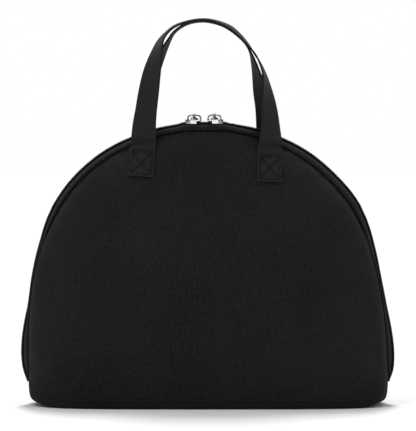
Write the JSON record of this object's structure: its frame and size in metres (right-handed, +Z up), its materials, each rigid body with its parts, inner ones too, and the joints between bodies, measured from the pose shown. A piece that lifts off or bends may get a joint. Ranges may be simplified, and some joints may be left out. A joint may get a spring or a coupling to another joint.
{
  "type": "toiletry bag",
  "caption": "Soft dome-shaped cloth toiletry bag on a flat base, with a coil zip over its arch, zip sliders with pulls, and webbing carrying handles.",
  "frame": {"origin": "on the floor, in the middle of the flat base", "axes": "+Z up, +X to the right seen from the front, -Y out of the front panel"},
  "size_m": [0.3119, 0.116, 0.3215],
  "materials": {
    "black_cloth": "matt black plain-weave cotton, slightly heathered",
    "zip_tape": "matt black woven polyester zip tape",
    "zip_coil": "black nylon coil, satin",
    "slider_metal": "bright nickel-plated die casting",
    "black_webbing": "black flat cotton webbing, fine ribbed weave"
  },
  "bodies": {
    "bag": {"front_panel": "black_cloth", "back_panel": "black_cloth", "bottom_gusset": "black_cloth", "zip_tape_front": "zip_tape", "zip_tape_back": "zip_tape", "zip_coil_left": "zip_coil", "zip_coil_right": "zip_coil", "slider_left": "slider_metal", "slider_right": "slider_metal", "handle_front": "black_webbing", "handle_back": "black_webbing"},
    "left_pull": {"pull_left": "slider_metal"},
    "right_pull": {"pull_right": "slider_metal"}
  },
  "joints": [
    {"name": "left_pull_swing", "type": "hinge", "parent": "bag", "child": "left_pull", "pos_m": [-0.01122, 0, 0.24083], "axis": [1, 0, 0], "range_deg": [0, 233]},
    {"name": "right_pull_swing", "type": "hinge", "parent": "bag", "child": "right_pull", "pos_m": [0.00564, 0, 0.24096], "axis": [1, 0, 0], "range_deg": [0, 233]}
  ]
}
